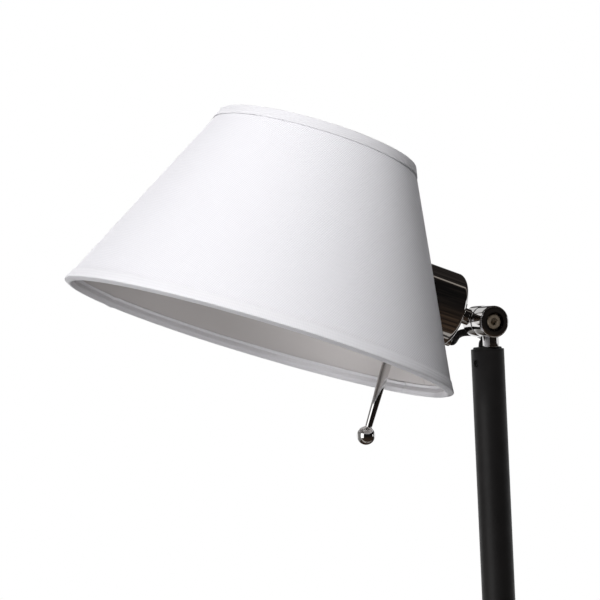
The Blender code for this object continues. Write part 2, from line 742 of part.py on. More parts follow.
# --- handle and cable ---------------------------------------------------------------------------
def make_handle():
    axis = (0, -HANDLE_REACH, 0)
    shoulder = -CUP_RADIUS - TOUCH
    ball_top = -HANDLE_DROP + BALL_RADIUS
    rod = rounded(
        [
            (0.0, -19.9 * MM),
            (2.0 * MM, -19.9 * MM),
            (2.0 * MM, shoulder),
            (ROD_TOP_RADIUS, shoulder),
            (ROD_END_RADIUS, ball_top + 0.1 * MM),
            (1.5 * MM, ball_top + 0.1 * MM),
            (1.5 * MM, ball_top - 4 * MM),
            (0.0, ball_top - 4 * MM),
        ],
        {1: 0.3 * MM},
        1,
    )
    turned("handle_rod", rod, CUP_AXIS, CHROME, axis, segments=24)
    nut_low = -CUP_RADIUS + CUP_WALL + 0.4 * MM
    nut("handle_nut", 7 * MM, nut_low, nut_low + 3 * MM, 2.3 * MM, CUP_AXIS, axis)
    shape = bmesh.new()
    bmesh.ops.create_uvsphere(shape, u_segments=24, v_segments=12, radius=BALL_RADIUS)
    mesh = bpy.data.meshes.new("handle_ball")
    shape.to_mesh(mesh)
    shape.free()
    ball = bpy.data.objects.new("handle_ball", mesh)
    place(ball, CUP_AXIS, (0, -HANDLE_REACH, -HANDLE_DROP), UPRIGHT, CHROME)
    seat = [
        (0.0, 10 * MM),
        (ROD_END_RADIUS + 0.4 * MM, 10 * MM),
        (ROD_END_RADIUS + 0.4 * MM, -0.2 * MM),
        (1.8 * MM, -0.2 * MM),
        (1.8 * MM, -4.4 * MM),
        (0.0, -4.4 * MM),
    ]
    cut(ball, turned("ball_bore", seat, CUP_AXIS, None, (0, -HANDLE_REACH, ball_top), UPRIGHT, 24))


def tilted(point):
    """A point of the cup's level layout, in mm, as it stands once the head is tilted."""
    x, y, z = point
    cos, sin = math.cos(HEAD_TILT), math.sin(HEAD_TILT)
    x = x * MM + KNUCKLE_X - HALF_CENTRE
    return (x, (y * cos + z * sin) * MM, (-y * sin + z * cos) * MM)


def make_cable():
    route = [tuple(c * MM for c in p) for p in CABLE_IN_POST + CABLE_LOOSE]
    route += [tilted(p) for p in CABLE_IN_CUP]
    wire("cable_jumper", smooth_route(route, CABLE_POINTS), CABLE_RADIUS, SWIVEL, RUBBER)


make_base()
make_post()
make_insert()
make_knuckle()
make_cup()
make_lampholder()
make_bulb()
make_bracket(make_shade())
make_handle()
make_cable()
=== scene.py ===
"""Looks of the pharmacy floor lamp: fine pieces, materials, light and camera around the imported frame.

Metres, +Z up. The head is laid out level, with its reach towards -Y, and then tilted up by HEAD_TILT.
"""

import json
import math

import bmesh
import bpy
from mathutils import Matrix, Quaternion, Vector


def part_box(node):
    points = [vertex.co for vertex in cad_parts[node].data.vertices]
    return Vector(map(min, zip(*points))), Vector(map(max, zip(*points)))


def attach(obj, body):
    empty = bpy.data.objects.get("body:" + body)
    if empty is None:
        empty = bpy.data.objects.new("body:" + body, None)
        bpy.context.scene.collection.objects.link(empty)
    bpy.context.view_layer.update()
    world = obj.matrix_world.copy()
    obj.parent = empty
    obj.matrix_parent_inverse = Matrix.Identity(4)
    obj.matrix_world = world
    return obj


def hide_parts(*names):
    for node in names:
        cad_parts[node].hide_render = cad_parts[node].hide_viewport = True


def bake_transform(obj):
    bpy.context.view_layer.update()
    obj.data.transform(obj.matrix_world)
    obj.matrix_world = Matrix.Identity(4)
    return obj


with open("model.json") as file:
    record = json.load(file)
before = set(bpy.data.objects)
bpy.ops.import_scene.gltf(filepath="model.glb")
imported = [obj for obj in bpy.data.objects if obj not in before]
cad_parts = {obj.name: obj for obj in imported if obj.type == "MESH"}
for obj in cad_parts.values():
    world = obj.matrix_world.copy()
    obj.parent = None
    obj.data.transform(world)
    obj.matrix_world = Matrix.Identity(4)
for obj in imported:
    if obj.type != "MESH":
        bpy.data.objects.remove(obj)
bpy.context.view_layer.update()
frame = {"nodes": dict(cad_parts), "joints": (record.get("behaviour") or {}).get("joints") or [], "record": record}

MM = 0.001

# --- places taken from the frame ------------------------------------------------------------------
JOINTS = {joint["name"]: joint for joint in frame["joints"]}
TILT_AXIS = Vector(JOINTS["head_tilt"]["pos_m"])
CUP_LOW, CUP_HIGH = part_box("socket_cup")
CUP_X = (CUP_LOW.x + CUP_HIGH.x) / 2
POST_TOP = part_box("post_upper")[1].z
INSERT_LOW, INSERT_TOP = (corner.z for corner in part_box("top_insert"))

# --- driving dimensions, as the frame was designed ------------------------------------------------
TOUCH = 0.3 * MM
HEAD_TILT = math.radians(20.5)

POST_RADIUS = 11.0 * MM
POST_WALL = 1.2 * MM
INSERT_RADIUS = POST_RADIUS - POST_WALL - TOUCH
GRUB_HEIGHT = POST_TOP - 9.0 * MM
GRUB_ANGLE = math.radians(-72.6)

BASE_RADIUS = 140.0 * MM
BASE_SKIN = 1.2 * MM
COVER_CROWN = 26.0 * MM

KNUCKLE_RADIUS = 10.6 * MM
KNUCKLE_HALF = 14.4 * MM
HALF_GAP = 0.55 * MM
COUNTERBORE = 6.2 * MM
STUB_RADIUS = 5.4 * MM
STUB_X = 5.6 * MM

CUP_RADIUS = 25.5 * MM
CUP_START = 22.7 * MM
CUP_LENGTH = 50.0 * MM
CUP_WALL = 1.2 * MM
GLAND_DROP = 19.2 * MM
GLAND_RADIUS = 3.6 * MM
GLAND_LENGTH = 5.4 * MM

SHADE_REACH = 147.0 * MM
SHADE_BOTTOM = -57.3 * MM
SHADE_TOP = 77.2 * MM
SHADE_BOTTOM_RADIUS = 129.5 * MM
SHADE_TOP_RADIUS = 66.0 * MM
SLOPE = math.atan2(SHADE_BOTTOM_RADIUS - SHADE_TOP_RADIUS, SHADE_TOP - SHADE_BOTTOM)

HANDLE_REACH = 56.6 * MM
HANDLE_DROP = 95.8 * MM
BALL_RADIUS = 6.1 * MM
ROD_TOP_RADIUS = 3.8 * MM
ROD_END_RADIUS = 2.35 * MM

CABLE_RADIUS = 2.5 * MM

# --- frames ---------------------------------------------------------------------------------------
UPRIGHT = Matrix.Identity(4)
ALONG_X = Matrix.Rotation(math.pi / 2, 4, "Y")
FORWARD = Matrix.Rotation(math.pi / 2, 4, "X")  # a turned piece's own +Z points towards -Y
KNUCKLE = Matrix.Translation(TILT_AXIS)
HEAD = KNUCKLE @ Matrix.Rotation(-HEAD_TILT, 4, "X")
CUP_AXIS = HEAD @ Matrix.Translation((CUP_X - TILT_AXIS.x, 0, 0))
SHADE_AXIS = CUP_AXIS @ Matrix.Translation((0, -SHADE_REACH, 0))
HANDLE_AXIS = CUP_AXIS @ Matrix.Translation((0, -HANDLE_REACH, 0))


# --- material nodes -------------------------------------------------------------------------------
class Nodes:
    """A short way to write one material's node tree."""

    def __init__(self, name, colour, roughness, metallic=0.0):
        self.material = bpy.data.materials.new(name)
        self.material.use_nodes = True
        self.tree = self.material.node_tree
        self.shader = self.tree.nodes["Principled BSDF"]
        self.set(self.shader, Base_Color=(*colour, 1.0), Roughness=roughness, Metallic=metallic)
        self.place = self.tree.nodes.new("ShaderNodeTexCoord")

    def set(self, node, **values):
        for key, value in values.items():
            node.inputs[key.replace("_", " ")].default_value = value

    def add(self, kind, **settings):
        node = self.tree.nodes.new(kind)
        for key, value in settings.items():
            setattr(node, key, value)
        return node

    def link(self, source, target):
        self.tree.links.new(source, target)

    def noise(self, scale, detail=2.0, stretch=(1, 1, 1), coordinate="Object"):
        """Noise with features about 1 / scale metres long, drawn out by stretch."""
        mapping = self.add("ShaderNodeMapping")
        mapping.inputs["Scale"].default_value = [scale * s for s in stretch]
        self.link(self.place.outputs[coordinate], mapping.inputs["Vector"])
        noise = self.add("ShaderNodeTexNoise")
        self.set(noise, Scale=1.0, Detail=detail)
        self.link(mapping.outputs["Vector"], noise.inputs["Vector"])
        return noise.outputs["Fac"]

    def math(self, operation, a, b=0.0, c=None):
        node = self.add("ShaderNodeMath", operation=operation)
        for index, value in enumerate((a, b, c)):
            if value is None:
                continue
            if isinstance(value, (int, float)):
                node.inputs[index].default_value = value
            else:
                self.link(value, node.inputs[index])
        return node.outputs[0]

    def spread(self, value, low, high):
        """The value from 0 to 1 turned into one from low to high."""
        return self.math("MULTIPLY_ADD", value, high - low, low)

    def tint(self, factor, dark, light):
        mix = self.add("ShaderNodeMix", data_type="RGBA")
        mix.inputs["A"].default_value = (*dark, 1.0)
        mix.inputs["B"].default_value = (*light, 1.0)
        self.link(factor, mix.inputs["Factor"])
        return mix.outputs["Result"]

    def colour(self, source):
        self.link(source, self.shader.inputs["Base Color"])

    def roughness(self, source):
        self.link(source, self.shader.inputs["Roughness"])

    def bump(self, height, depth, strength=1.0):
        bump = self.add("ShaderNodeBump")
        self.set(bump, Distance=depth, Strength=strength)
        self.link(height, bump.inputs["Height"])
        self.link(bump.outputs["Normal"], self.shader.inputs["Normal"])


def chrome():
    """Polished plating with the faint haze and hairlines of handling."""
    m = Nodes("polished_chrome", (0.80, 0.79, 0.78), 0.05, 1.0)
    haze = m.noise(60, 3)
    m.roughness(m.spread(haze, 0.025, 0.075))
    m.colour(m.tint(m.noise(25, 2), (0.77, 0.755, 0.74), (0.83, 0.825, 0.82)))
    m.bump(m.noise(220, 2), 0.004 * MM, 0.5)
    return m.material


def black_paint():
    """Satin black powder coat: a fine orange peel and slightly uneven gloss."""
    m = Nodes("satin_black_coat", (0.012, 0.011, 0.011), 0.45)
    m.colour(m.tint(m.noise(90, 3), (0.009, 0.0085, 0.0085), (0.015, 0.014, 0.014)))
    m.roughness(m.spread(m.noise(160, 3), 0.38, 0.54))
    m.bump(m.noise(1400, 2), 0.02 * MM, 0.6)
    m.set(m.shader, Specular_IOR_Level=0.28)
    return m.material


def black_plastic():
    """Moulded plastic with a fine spark texture."""
    m = Nodes("moulded_black_plastic", (0.016, 0.016, 0.016), 0.55)
    m.colour(m.tint(m.noise(300, 2), (0.013, 0.013, 0.013), (0.020, 0.020, 0.019)))
    m.roughness(m.spread(m.noise(500, 2), 0.46, 0.62))
    m.bump(m.noise(2600, 1), 0.02 * MM, 0.5)
    return m.material


def zinc_steel():
    """Zinc plated steel with a fine turned grain."""
    m = Nodes("zinc_steel", (0.56, 0.55, 0.53), 0.32, 1.0)
    m.colour(m.tint(m.noise(140, 3), (0.48, 0.46, 0.43), (0.62, 0.61, 0.59)))
    m.roughness(m.spread(m.noise(400, 2), 0.24, 0.40))
    m.bump(m.noise(1800, 2), 0.008 * MM, 0.5)
    return m.material


def screw_steel():
    """The hinge screw: nickel plate that has gone a little warm."""
    m = Nodes("warm_nickel", (0.36, 0.29, 0.22), 0.24, 0.6)
    m.colour(m.tint(m.noise(320, 3), (0.27, 0.21, 0.15), (0.44, 0.37, 0.29)))
    m.roughness(m.spread(m.noise(500, 2), 0.18, 0.30))
    m.bump(m.noise(1500, 2), 0.010 * MM, 0.5)
    return m.material


def brass():
    m = Nodes("plain_brass", (0.72, 0.52, 0.22), 0.3, 1.0)
    m.colour(m.tint(m.noise(150, 3), (0.58, 0.40, 0.16), (0.78, 0.58, 0.27)))
    m.roughness(m.spread(m.noise(300, 2), 0.22, 0.42))
    return m.material


def cast_iron():
    m = Nodes("cast_iron", (0.09, 0.09, 0.09), 0.7, 0.6)
    m.colour(m.tint(m.noise(200, 4), (0.06, 0.058, 0.055), (0.12, 0.118, 0.112)))
    m.roughness(m.spread(m.noise(300, 3), 0.6, 0.85))
    m.bump(m.noise(700, 4), 0.25 * MM, 0.8)
    return m.material


def rubber():
    """Matt black rubber and the cable's PVC skin."""
    m = Nodes("matt_rubber", (0.022, 0.021, 0.021), 0.6)
    m.colour(m.tint(m.noise(260, 3), (0.017, 0.016, 0.016), (0.028, 0.027, 0.027)))
    m.roughness(m.spread(m.noise(420, 2), 0.48, 0.68))
    m.bump(m.noise(1600, 2), 0.02 * MM, 0.6)
    return m.material


def white_coat():
    m = Nodes("white_coated_wire", (0.76, 0.76, 0.75), 0.35)
    m.colour(m.tint(m.noise(120, 3), (0.72, 0.72, 0.71), (0.80, 0.80, 0.79)))
    m.roughness(m.spread(m.noise(300, 2), 0.28, 0.42))
    m.bump(m.noise(900, 2), 0.02 * MM, 0.5)
    return m.material


def opal_glass():
    m = Nodes("opal_glass", (0.90, 0.90, 0.88), 0.22)
    m.colour(m.tint(m.noise(60, 2), (0.88, 0.88, 0.86), (0.93, 0.93, 0.91)))
    m.roughness(m.spread(m.noise(200, 2), 0.18, 0.28))
    m.set(m.shader, Coat_Weight=0.5, Coat_Roughness=0.08)
    return m.material


YARN = 1.24 * MM  # from one rib of the weave to the next


def woven(name, light, dark, yarn=YARN):
    """A ribbed weave laid out in the piece's flat pattern, in metres, with slightly uneven yarns."""
    m = Nodes(name, light, 0.85)
    uneven = m.add("ShaderNodeVectorMath", operation="MULTIPLY_ADD")
    drift = m.add("ShaderNodeTexNoise")
    m.set(drift, Scale=70.0, Detail=2.0)
    m.link(m.place.outputs["UV"], drift.inputs["Vector"])
    m.link(drift.outputs["Color"], uneven.inputs[0])
    uneven.inputs[1].default_value = (0.5 * MM, 0.5 * MM, 0.0)
    m.link(m.place.outputs["UV"], uneven.inputs[2])
    along = m.add("ShaderNodeSeparateXYZ")
    m.link(uneven.outputs["Vector"], along.inputs["Vector"])
    warp = m.math("COSINE", m.math("MULTIPLY", along.outputs["X"], 2 * math.pi / yarn))
    weft = m.math("COSINE", m.math("MULTIPLY", along.outputs["Y"], 2 * math.pi / yarn))
    over = m.math("MULTIPLY_ADD", warp, 0.62, m.math("MULTIPLY", weft, 0.38))
    slub = m.noise(1.0, 3, (2600, 55, 1), "UV")
    cross = m.noise(1.0, 3, (55, 2600, 1), "UV")
    shade = m.math("MULTIPLY_ADD", over, 0.55, 0.5)
    shade = m.math("ADD", shade, m.math("MULTIPLY_ADD", m.math("ADD", slub, cross), 0.45, -0.45))
    m.colour(m.tint(shade, dark, light))
    m.roughness(m.spread(slub, 0.78, 0.92))
    m.bump(m.math("ADD", m.math("MULTIPLY", over, 0.5), m.math("MULTIPLY", slub, 0.4)), 0.18 * MM, 0.8)
    m.set(m.shader, Sheen_Weight=0.08, Sheen_Roughness=0.5)
    return m.material


def lining():
    """The shade's plastic inner face, off-white, with a very fine linen emboss."""
    m = Nodes("shade_lining", (0.66, 0.63, 0.62), 0.5)
    m.colour(m.tint(m.noise(18, 3), (0.635, 0.605, 0.600), (0.685, 0.655, 0.650)))
    m.roughness(m.spread(m.noise(90, 2), 0.42, 0.56))
    m.bump(m.noise(1.0, 2, (2200, 2200, 1), "UV"), 0.02 * MM, 0.4)
    return m.material


CHROME = chrome()
COAT = black_paint()
PLASTIC = black_plastic()
ZINC = zinc_steel()
NICKEL = screw_steel()
RUBBER = rubber()
WEAVE = woven("white_weave", (0.92, 0.91, 0.945), (0.80, 0.792, 0.83))
HEM_WEAVE = woven("hem_weave", (0.90, 0.892, 0.922), (0.84, 0.832, 0.865), 0.80 * MM)
LINING = lining()
SLOT_MATERIALS = {
    "black_paint": COAT,
    "black_plastic": PLASTIC,
    "chrome": CHROME,
    "steel": ZINC,
    "brass": brass(),
    "iron": cast_iron(),
    "rubber": RUBBER,
    "white_fabric": WEAVE,
    "hem_fabric": HEM_WEAVE,
    "white_wire": white_coat(),
    "opal_glass": opal_glass(),
}


# --- shapes ---------------------------------------------------------------------------------------
def rounded(points, corners, steps=6):
    """The same outline with the corners named in {index: radius} turned into arcs."""
    made = []
    count = len(points)
    for i, point in enumerate(points):
        if i not in corners:
            made.append(point)
            continue
        here = Vector(point)
        before = (Vector(points[i - 1]) - here).normalized()
        after = (Vector(points[(i + 1) % count]) - here).normalized()
        half = before.angle(after) / 2
        radius = corners[i]
        centre = here + (before + after).normalized() * radius / math.sin(half)
        start = here + before * radius / math.tan(half) - centre
        end = here + after * radius / math.tan(half) - centre
        first = math.atan2(start.y, start.x)
        turn = (math.atan2(end.y, end.x) - first + math.pi) % (2 * math.pi) - math.pi
        for k in range(steps + 1):
            angle = first + turn * k / steps
            made.append((centre.x + radius * math.cos(angle), centre.y + radius * math.sin(angle)))
    return made


def disc(radius, low, high):
    return [(0.0, high), (radius, high), (radius, low), (0.0, low)]


def ring(inner, outer, low, high):
    return [(outer, high), (outer, low), (inner, low), (inner, high)]


def turned_mesh(name, outline, place, segments=96, closed=False):
    """An outline of (radius, height) points swept round the place's own Z axis."""
    shape = bmesh.new()
    rings = []
    for radius, height in outline:
        made = []
        for k in range(segments if radius > 1e-6 else 1):
            turn = 2 * math.pi * k / segments
            point = Vector((radius * math.cos(turn), radius * math.sin(turn), height))
            made.append(shape.verts.new(place @ point))
        rings.append(made)
    pairs = list(zip(rings, rings[1:]))
    if closed:
        pairs.append((rings[-1], rings[0]))
    for upper, lower in pairs:
        for k in range(segments):
            corners = [
                upper[k % len(upper)],
                lower[k % len(lower)],
                lower[(k + 1) % len(lower)],
                upper[(k + 1) % len(upper)],
            ]
            corners = list(dict.fromkeys(corners))
            if len(corners) > 2:
                shape.faces.new(corners)
    bmesh.ops.recalc_face_normals(shape, faces=shape.faces)
    mesh = bpy.data.meshes.new(name)
    shape.to_mesh(mesh)
    shape.free()
    return mesh


def arc_mesh(name, outline, place, first, last, steps):
    """A closed outline of (radius, height) points swept part of the way round the place's Z axis."""
    shape = bmesh.new()
    rows = []
    for k in range(steps + 1):
        turn = first + (last - first) * k / steps
        spots = [Vector((r * math.cos(turn), r * math.sin(turn), h)) for r, h in outline]
        rows.append([shape.verts.new(place @ spot) for spot in spots])
    for a, b in zip(rows, rows[1:]):
        for k in range(len(outline)):
            after = (k + 1) % len(outline)
            shape.faces.new([a[k], a[after], b[after], b[k]])
    shape.faces.new(rows[0])
    shape.faces.new(rows[-1])
    bmesh.ops.recalc_face_normals(shape, faces=shape.faces)
    mesh = bpy.data.meshes.new(name)
    shape.to_mesh(mesh)
    shape.free()
    return mesh


def smooth(mesh, angle=32):
    mesh.shade_smooth()
    mesh.set_sharp_from_angle(angle=math.radians(angle))
    return mesh


def piece(name, mesh, material, body, nodes):
    """A finished piece that rides on a body and stands for these CAD nodes."""
    obj = bpy.data.objects.new(name, smooth(mesh))
    bpy.context.scene.collection.objects.link(obj)
    obj.data.materials.append(material)
    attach(obj, body)
    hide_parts(*nodes)
    return obj


def carve(mesh, cutters, operation="DIFFERENCE"):
    """The mesh with each cutter taken away, or joined on."""
    obj = bpy.data.objects.new("work", mesh)
    bpy.context.scene.collection.objects.link(obj)
    tools = []
    for cutter in cutters:
        tool = bpy.data.objects.new("tool", cutter)
        bpy.context.scene.collection.objects.link(tool)
        tools.append(tool)
        step = obj.modifiers.new("step", "BOOLEAN")
        step.operation = operation
        step.solver = "EXACT"
        step.object = tool
    bpy.context.view_layer.update()
    depsgraph = bpy.context.evaluated_depsgraph_get()
    made = bpy.data.meshes.new_from_object(obj.evaluated_get(depsgraph))
    made.name = mesh.name
    for scrap in [obj, *tools]:
        bpy.data.objects.remove(scrap)
    return made


def prism(name, across_flats, low, high, place):
    """A six-sided prism on the place's own Z axis."""
    outline = disc(across_flats / math.sqrt(3), low, high)
    return turned_mesh(name, outline, place, segments=6)


# --- shade ----------------------------------------------------------------------------------------
HEM_HEIGHT = 6.5 * MM
HEM_INSIDE = 6.5 * MM
HEM_THICKNESS = 0.5 * MM
PANEL_THICKNESS = 0.8 * MM
COVER_THICKNESS = 0.35 * MM
WIRE_RADIUS = 1.1 * MM
SHADE_SEGMENTS = 240
STRIP_RADIUS = 100 * MM  # what a hem's strip is taken to lie on, between the two rims
WINDOW_GAP = 0.7 * MM
WINDOW_REACH = (5 * MM, 90 * MM)
SEAM_AZIMUTH = math.radians(94.0)  # the flat pattern's edge, just beside the cup
LINING_SEAM = math.radians(94.0)
HEM_SEAM = math.radians(104.0)
HEM_LUMP = math.radians(-145.0)


def on_wall(foot, along, out):
    """The (radius, height) of a point beside the shade's wall, from the wall's foot or its top edge."""
    radius = foot[0] - along * math.sin(SLOPE) + out * math.cos(SLOPE)
    return (radius, foot[1] + along * math.cos(SLOPE) + out * math.sin(SLOPE))


def shade_edges():
    proud = TOUCH + HEM_THICKNESS
    lift = 0.9 * MM
    foot = on_wall((SHADE_BOTTOM_RADIUS, SHADE_BOTTOM), lift, -proud)
    crown = on_wall((SHADE_TOP_RADIUS, SHADE_TOP), -lift, -proud)
    return foot, crown


def turn_of(point, near):
    """The point's angle round the shade's axis, on the same turn as the angle near it."""
    turn = math.atan2(point.y, point.x)
    return near + (turn - near + math.pi) % (2 * math.pi) - math.pi


def lay_flat(mesh, seam):
    """Maps the cone in its flat pattern, in metres, cut open at the seam."""
    level = SHADE_AXIS.inverted()
    layer = mesh.uv_layers.new(name="UVMap")
    for face in mesh.polygons:
        middle = level @ face.center
        near = (math.atan2(middle.y, middle.x) - seam) % (2 * math.pi) + seam
        for loop in face.loop_indices:
            point = level @ mesh.vertices[mesh.loops[loop].vertex_index].co
            reach = Vector((point.x, point.y)).length / math.sin(SLOPE)
            angle = (turn_of(point, near) - seam - math.pi) * math.sin(SLOPE)
            layer.data[loop].uv = (reach * math.sin(angle), -reach * math.cos(angle))


def wrap_round(mesh):
    """Maps a strip round the shade by its length round and its height, in metres."""
    level = SHADE_AXIS.inverted()
    layer = mesh.uv_layers.new(name="UVMap")
    for face in mesh.polygons:
        middle = level @ face.center
        near = math.atan2(middle.y, middle.x)
        radius = Vector((middle.x, middle.y)).length
        for loop in face.loop_indices:
            point = level @ mesh.vertices[mesh.loops[loop].vertex_index].co
            side = Vector((point.x, point.y)).length - radius
            layer.data[loop].uv = (turn_of(point, near) * STRIP_RADIUS, point.z + side)


def cut_window(mesh, segments):
    """The mesh with the round window that the cup goes through."""
    window = disc(CUP_RADIUS + WINDOW_GAP, *WINDOW_REACH)
    return carve(mesh, [turned_mesh("window", window, CUP_AXIS @ FORWARD, segments)])


def wall_shell(name, outer, inner, rows=20):
    """A thin cone between two depths behind the shade's outer surface, with the cup's window in it."""
    foot, crown = shade_edges()
    length = (Vector(crown) - Vector(foot)).length
    outline = [on_wall(foot, length * (1 - k / rows), -outer) for k in range(rows + 1)]
    outline += [on_wall(foot, length * k / rows, -inner) for k in range(rows + 1)]
    return cut_window(turned_mesh(name, outline, SHADE_AXIS, SHADE_SEGMENTS, closed=True), 128)


def hem_outline(edge, upward):
    """The folded hem: down the outside of the panel, round the wire and up the inside."""
    outside = TOUCH
    skin = HEM_THICKNESS
    inside = PANEL_THICKNESS + TOUCH
    fold = 0.4 * MM
    depth = PANEL_THICKNESS + 2 * WIRE_RADIUS + 3 * TOUCH
    points = [
        (HEM_HEIGHT, outside + 0.2 * skin),
        (-fold - skin, outside + skin),
        (-fold - skin, -depth - skin),
        (2.9 * MM, -depth - skin),
        (4.5 * MM, -inside - skin),
        (HEM_INSIDE, -inside - skin),
        (HEM_INSIDE, -inside),
        (4.3 * MM, -inside),
        (2.7 * MM, -depth),
        (-fold, -depth),
        (-fold, outside),
        (HEM_HEIGHT, outside),
    ]
    corners = {
        0: 0.05 * MM, 1: 0.8 * MM, 2: 1.6 * MM, 3: 1.3 * MM, 4: 0.6 * MM, 5: 0.2 * MM,
        7: 0.4 * MM, 8: 0.8 * MM, 9: 1.1 * MM, 10: 0.3 * MM,
    }
    sign = 1 if upward else -1
    points = rounded([(out, along) for along, out in points], corners, 5)
    return [on_wall(edge, sign * along, out) for out, along in points]


def unsettle(mesh, depth, lump=None):
    """Moves a strip round the shade in and out a little, as cloth folded by hand lies."""
    level = SHADE_AXIS.inverted()
    for vertex in mesh.vertices:
        point = level @ vertex.co
        turn = math.atan2(point.y, point.x)
        wave = math.sin(3 * turn + 0.7) + 0.6 * math.sin(11 * turn + 2.1) + 0.5 * math.sin(29 * turn)
        move = depth * wave
        point.z += 0.6 * move
        if lump is not None:
            away = (turn - lump + math.pi) % (2 * math.pi) - math.pi
            point.z -= 0.7 * MM * math.exp(-((away / math.radians(0.9)) ** 2))
        out = Vector((point.x, point.y)).normalized() * 0.4 * move
        vertex.co = SHADE_AXIS @ (point + Vector((out.x, out.y, 0.0)))


def make_overlaps(foot):
    """Where the lining sheet and the hem's strip overlap their own ends, beside the cup."""
    rise = HEM_INSIDE + 0.2 * MM
    length = (Vector(shade_edges()[1]) - Vector(foot)).length
    near, far = -PANEL_THICKNESS + 0.05 * MM, -PANEL_THICKNESS - 0.3 * MM
    outline = [on_wall(foot, along, out) for along, out in ((rise, near), (rise, far))]
    outline += [on_wall(foot, length - rise, out) for out in (far, near)]
    mesh = arc_mesh("lining_overlap", outline, SHADE_AXIS, LINING_SEAM, LINING_SEAM + math.radians(5), 12)
    mesh = cut_window(mesh, 96)
    lay_flat(mesh, SEAM_AZIMUTH)
    piece("lining_overlap", mesh, LINING, "head", ["shade_panel"])
    depth = PANEL_THICKNESS + 2 * WIRE_RADIUS + 3 * TOUCH + HEM_THICKNESS
    tape = [(0.2, 0.0), (3.0, 0.0), (4.6, 2.6), (6.3, 2.6), (6.3, 2.9), (4.4, 2.9), (2.8, 0.35), (0.2, 0.35)]
    outline = [on_wall(foot, along * MM, -depth - 0.3 * MM + out * MM) for along, out in tape]
    mesh = arc_mesh("hem_overlap", outline, SHADE_AXIS, HEM_SEAM, HEM_SEAM + math.radians(6), 14)
    wrap_round(mesh)
    piece("hem_overlap", mesh, HEM_WEAVE, "head", ["bottom_hem"])


def make_shade():
    cover_mesh = wall_shell("shade_cover", 0.0, COVER_THICKNESS)
    lay_flat(cover_mesh, SEAM_AZIMUTH)
    cover = piece("shade_cover", cover_mesh, WEAVE, "head", ["shade_panel"])
    lining_mesh = wall_shell("shade_lining", COVER_THICKNESS + 0.02 * MM, PANEL_THICKNESS)
    lay_flat(lining_mesh, SEAM_AZIMUTH)
    piece("shade_lining", lining_mesh, LINING, "head", ["shade_panel"])

    foot, crown = shade_edges()
    for name, edge, upward in (("bottom_hem", foot, True), ("top_hem", crown, False)):
        mesh = turned_mesh(name + "_fold", hem_outline(edge, upward), SHADE_AXIS, SHADE_SEGMENTS, closed=True)
        wrap_round(mesh)
        unsettle(mesh, 0.05 * MM, HEM_LUMP if upward else None)
        piece(name + "_fold", mesh, HEM_WEAVE, "head", [name])
    make_overlaps(foot)


# --- knuckle, cup and handle ----------------------------------------------------------------------
def drum(name, place, near, far):
    """Half of the knuckle, a drum round the X axis with a rounded outer edge."""
    outline = disc(KNUCKLE_RADIUS, min(near, far), max(near, far))
    edges = {1: 2.0 * MM, 2: 0.35 * MM} if far > near else {2: 2.0 * MM, 1: 0.35 * MM}
    return turned_mesh(name, rounded(outline, edges, 8), place @ ALONG_X, 128)


def make_knuckle():
    foot = INSERT_TOP - TILT_AXIS.z + TOUCH
    stub_place = Matrix.Translation((STUB_X, 0, TILT_AXIS.z))
    stub = turned_mesh("stub", rounded(disc(STUB_RADIUS, foot, -2 * MM), {2: 0.4 * MM}, 3), stub_place, 96)
    body = carve(drum("knuckle_front", KNUCKLE, HALF_GAP, KNUCKLE_HALF), [stub], "UNION")
    face = KNUCKLE_HALF + 1 * MM
    bore = rounded(
        [(0.0, face), (COUNTERBORE, face), (COUNTERBORE, 5.4 * MM), (0.0, 5.4 * MM)], {2: 0.5 * MM}, 3
    )
    body = carve(body, [turned_mesh("bore", bore, KNUCKLE @ ALONG_X, 96)])
    piece("knuckle_front", body, CHROME, "swivel", ["knuckle_lower"])

    neck = rounded(disc(STUB_RADIUS, 2 * MM, CUP_START - TOUCH), {1: 0.3 * MM}, 3)
    rear = carve(
        drum("knuckle_rear", HEAD, -HALF_GAP, -KNUCKLE_HALF),
        [turned_mesh("neck", neck, CUP_AXIS @ FORWARD, 96)],
        "UNION",
    )
    pocket = prism("pocket", 10.7 * MM, -KNUCKLE_HALF - 1 * MM, -8.2 * MM, HEAD @ ALONG_X)
    piece("knuckle_rear", carve(rear, [pocket]), CHROME, "head", ["knuckle_upper"])

    low, high = 7.4 * MM, 13.2 * MM
    head = rounded(disc(5.0 * MM, low, high), {1: 1.3 * MM, 2: 0.3 * MM}, 8)
    screw = turned_mesh("hinge_screw_head", head, HEAD @ ALONG_X, 96)
    mouth = [(0.0, 1.0), (3.6, 0.3), (2.7, -0.5), (0.0, -0.5)]
    mouth = [(radius * MM, high + rise * MM) for radius, rise in mouth]
    socket = prism("hex_socket", 5 * MM, high - 4.6 * MM, high + 1 * MM, HEAD @ ALONG_X)
    screw = carve(screw, [socket, turned_mesh("socket_mouth", mouth, HEAD @ ALONG_X, 64)])
    piece("hinge_screw_head", screw, NICKEL, "head", ["hinge_screw"])


